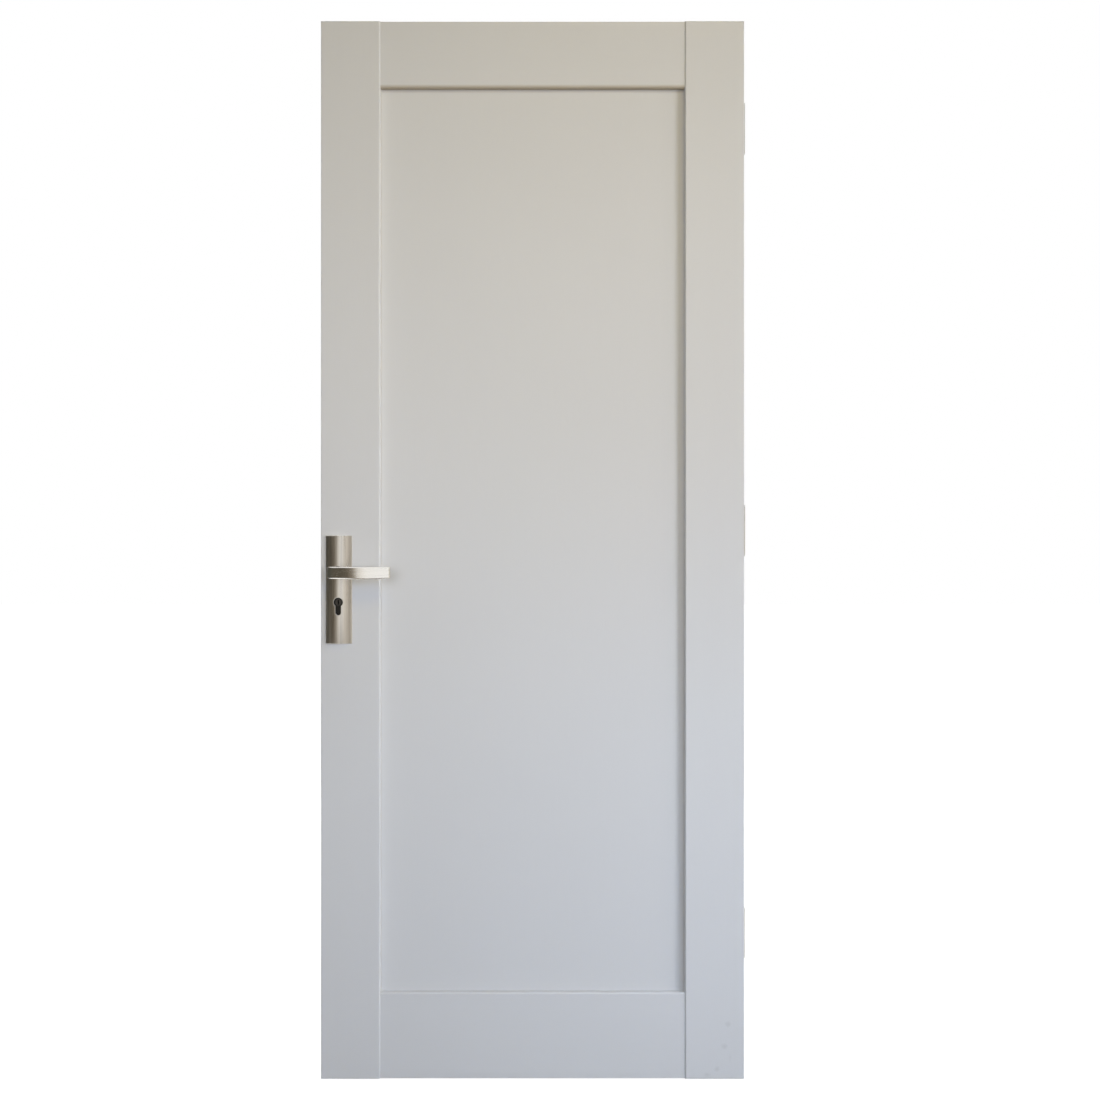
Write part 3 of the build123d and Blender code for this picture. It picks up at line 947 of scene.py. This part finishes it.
@dataclass
class Studio:
    """Floor, cards, lights, world and camera."""

    frame_half: float = 1056.3 * MM
    distance: float = 2300.0 * MM
    aim_offset: float = 33.6 * MM
    floor_drop: float = 8.0 * MM
    middle: Vector = field(init=False)
    foot: float = field(init=False)

    def build(self) -> None:
        """Sets up everything around the door."""
        bpy.context.scene.view_settings.view_transform = "Standard"
        low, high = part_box("lock_stile")
        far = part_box("hinge_stile")[1].x
        self.middle = Vector(((low.x + far) / 2, low.y, (low.z + high.z) / 2))
        self.foot = low.z
        self.make_camera()
        self.make_world()
        self.make_floor()
        self.make_cards()
        self.make_lights()

    def make_camera(self) -> None:
        """Square-on camera that frames the leaf as the photograph does."""
        data = bpy.data.cameras.new("camera")
        data.sensor_width = 36.0
        data.sensor_fit = "HORIZONTAL"
        data.lens = data.sensor_width / 2 * self.distance / self.frame_half
        data.clip_end = 200.0
        camera = bpy.data.objects.new("camera", data)
        bpy.context.scene.collection.objects.link(camera)
        camera.location = self.middle + Vector((self.aim_offset, -self.distance, 0.0))
        camera.rotation_euler = (math.pi / 2, 0.0, 0.0)
        bpy.context.scene.camera = camera

    def make_world(self) -> None:
        """White surroundings, dimmer where they only light the door."""
        world = bpy.data.worlds.new("studio_world")
        world.use_nodes = True
        bpy.context.scene.world = world
        graph = Graph(world.node_tree)
        seen = self.seen(graph)
        strength = graph.remap(seen, 0.0, 1.0, 0.10, 1.0)
        background = world.node_tree.nodes["Background"]
        background.inputs["Color"].default_value = (1.0, 1.0, 1.0, 1.0)
        graph.tree.links.new(strength, background.inputs["Strength"])

    @staticmethod
    def seen(graph: Graph) -> bpy.types.NodeSocket:
        """Mask of the rays that show the surroundings: camera, mirror and glass rays.

        Args:
            graph: The graph that reads it.

        Returns:
            The mask.
        """
        path = graph.add("ShaderNodeLightPath")
        shown = graph.math("MAXIMUM", path.outputs["Is Camera Ray"], path.outputs["Is Glossy Ray"])
        return graph.math("MAXIMUM", shown, path.outputs["Is Transmission Ray"])

    @staticmethod
    def stage_plane(name: str, width: float, height: float, place: Matrix) -> bpy.types.Object:
        """A flat stage piece.

        Args:
            name: Its name.
            width: Its size along its own X.
            height: Its size along its own Y.
            place: Where it goes.

        Returns:
            The object.
        """
        shape = bmesh.new()
        bmesh.ops.create_grid(shape, x_segments=1, y_segments=1, size=0.5)
        bmesh.ops.scale(shape, vec=(width, height, 1.0), verts=shape.verts)
        shape.transform(place)
        mesh = bpy.data.meshes.new(name)
        shape.to_mesh(mesh)
        shape.free()
        plane = bpy.data.objects.new(name, mesh)
        bpy.context.scene.collection.objects.link(plane)
        return plane

    def make_floor(self) -> None:
        """Pale floor that shows white and keeps the door's shadow."""
        place = Matrix.Translation((self.middle.x, self.middle.y, self.foot - self.floor_drop))
        floor = self.stage_plane("floor", 40.0, 40.0, place)
        material = bpy.data.materials.new("pale_floor")
        material.use_nodes = True
        graph = Graph(material.node_tree)
        graph.tree.nodes.remove(graph.tree.nodes["Principled BSDF"])
        seen = self.seen(graph)
        tone = graph.mix(seen, (0.32, 0.32, 0.33, 1.0), (0.55, 0.55, 0.55, 1.0))
        matt = graph.add("ShaderNodeBsdfDiffuse", {"Color": tone})
        place = graph.add("ShaderNodeTexCoord").outputs["Object"]
        away = graph.vector("DISTANCE", place, (self.middle.x, self.middle.y, self.foot))
        level = graph.remap(away.outputs["Value"], 0.9, 2.4, 0.90, 1.0)
        glow = graph.add("ShaderNodeEmission", {"Strength": graph.math("MULTIPLY", seen, level)})
        both = graph.add("ShaderNodeAddShader", {0: matt.outputs[0], 1: glow.outputs[0]})
        output = graph.tree.nodes["Material Output"]
        graph.tree.links.new(both.outputs[0], output.inputs["Surface"])
        floor.data.materials.append(material)

    def make_cards(self) -> None:
        """Cards that show in reflections alone: dark at the left and below, tan at the right."""
        low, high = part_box("front_backplate")
        handle = Vector(((low.x + high.x) / 2, low.y, (low.z + high.z) / 2))
        olive, umber, brown = (0.074, 0.072, 0.058), (0.120, 0.100, 0.072), (0.26, 0.22, 0.17)
        sand, tan, pale = (0.46, 0.41, 0.35), (0.78, 0.735, 0.67), (1.0, 0.97, 0.92)
        left = (
            (-185.0, olive),
            (-95.0, olive),
            (-42.0, umber),
            (-23.0, brown),
            (-7.0, pale),
            (0.0, pale),
        )
        right = ((24.0, pale), (33.0, tan), (57.0, tan), (66.0, sand), (76.0, sand), (88.0, pale))
        self.add_card("card_left", handle, 0.50, left)
        self.add_card("card_right", handle, 1.25, right)
        shelf = Matrix.Translation(handle + Vector((0.06, -0.22, -0.14)))
        self.show_to_metal(self.stage_plane("card_low", 0.36, 0.30, shelf), (0.26, 0.23, 0.20))

    def add_card(
        self, name: str, handle: Vector, reach: float, stops: tuple[tuple[float, Colour], ...]
    ) -> None:
        """Bends one graded card around the handle.

        Args:
            name: Its name.
            handle: Middle of the front backplate.
            reach: Its distance from the handle.
            stops: Bearing, in degrees right of the front, and the tone that the card shows there.
        """
        start, end = math.radians(stops[0][0]), math.radians(stops[-1][0])
        shape = bmesh.new()
        bmesh.ops.create_grid(shape, x_segments=48, y_segments=1, size=0.5)
        tones = shape.verts.layers.float_vector.new("tone")
        for vert in shape.verts:
            bearing = start + (vert.co.x + 0.5) * (end - start)
            vert[tones] = self.tone_at(math.degrees(bearing), stops)
            place = Vector((math.sin(bearing), -math.cos(bearing), vert.co.y * 1.24))
            vert.co = place * reach
        bmesh.ops.translate(shape, vec=handle, verts=shape.verts)
        mesh = bpy.data.meshes.new(name)
        shape.to_mesh(mesh)
        shape.free()
        card = bpy.data.objects.new(name, mesh)
        bpy.context.scene.collection.objects.link(card)
        self.show_to_metal(card)

    @staticmethod
    def tone_at(bearing: float, stops: tuple[tuple[float, Colour], ...]) -> Vector:
        """Tone of a card at a bearing, between the stops on its two sides.

        Args:
            bearing: Degrees right of the front.
            stops: Bearing and tone of each stop, from left to right.

        Returns:
            The tone.
        """
        for (left, first), (right, second) in zip(stops, stops[1:]):
            if bearing <= right:
                share = (bearing - left) / (right - left)
                return Vector(first).lerp(Vector(second), max(share, 0.0))
        return Vector(stops[-1][1])

    @staticmethod
    def show_to_metal(card: bpy.types.Object, tone: Colour | None = None) -> None:
        """Lets a card show in reflections alone.

        Args:
            card: The card.
            tone: Its tone; the tones kept on its points where none is given.
        """
        material = bpy.data.materials.new(f"{card.name}_glow")
        material.use_nodes = True
        graph = Graph(material.node_tree)
        graph.tree.nodes.remove(graph.tree.nodes["Principled BSDF"])
        kept = graph.add("ShaderNodeAttribute", attribute_name="tone").outputs["Color"]
        glow = graph.add("ShaderNodeEmission", {"Color": (*tone, 1.0) if tone else kept})
        output = graph.tree.nodes["Material Output"]
        graph.tree.links.new(glow.outputs[0], output.inputs["Surface"])
        card.data.materials.append(material)
        card.visible_camera = False
        card.visible_diffuse = False
        card.visible_shadow = False

    def make_lights(self) -> None:
        """Soft lamps from the right and front, warm above, cool below, and two for edge and back."""
        white, warm, bluish = (1.0, 0.99, 1.0), (1.0, 0.96, 0.90), (0.85, 0.90, 1.0)
        amber, cool = (1.0, 0.77, 0.27), (0.58, 0.74, 1.0)
        lamps = (
            Softbox("key", 45.0, 5.0, 3.4, (0.82, 0.10), (1.4, 1.4), 60.0, 10.6, bluish),
            Softbox("side", 66.0, 4.0, 6.0, (0.0, 0.10), (3.0, 3.0), 180.0, 84.0, warm),
            Softbox("front", 3.0, 1.0, 1.6, (-0.46, 0.12), (0.7, 0.7), 180.0, 8.3, bluish),
            Softbox("high", 14.0, 28.0, 2.4, (0.0, 0.60), (1.6, 0.8), 90.0, 4.6, amber),
            Softbox("low", 24.0, 40.0, 2.2, (0.30, -1.16), (1.6, 0.6), 72.0, 3.0, cool),
            Softbox("edge", -103.0, 8.0, 2.8, (-0.4, 0.0), (1.4, 2.0), 180.0, 42.0, white),
            Softbox("back", 180.0, 12.0, 2.8, (0.0, 0.0), (2.4, 1.8), 180.0, 62.0, white),
        )
        for lamp in lamps:
            lamp.build(self.middle)


def main() -> None:
    """Builds the door's looks and the studio."""
    logging.basicConfig(level=logging.INFO, format="%(name)s: %(message)s")
    effects = Effects()
    DoorLeaf().build(effects)
    HandleSet().build(effects)
    LockSet().build(effects)
    HingeSet().build(effects)
    Studio().build()


if __name__ == "__main__":
    main()
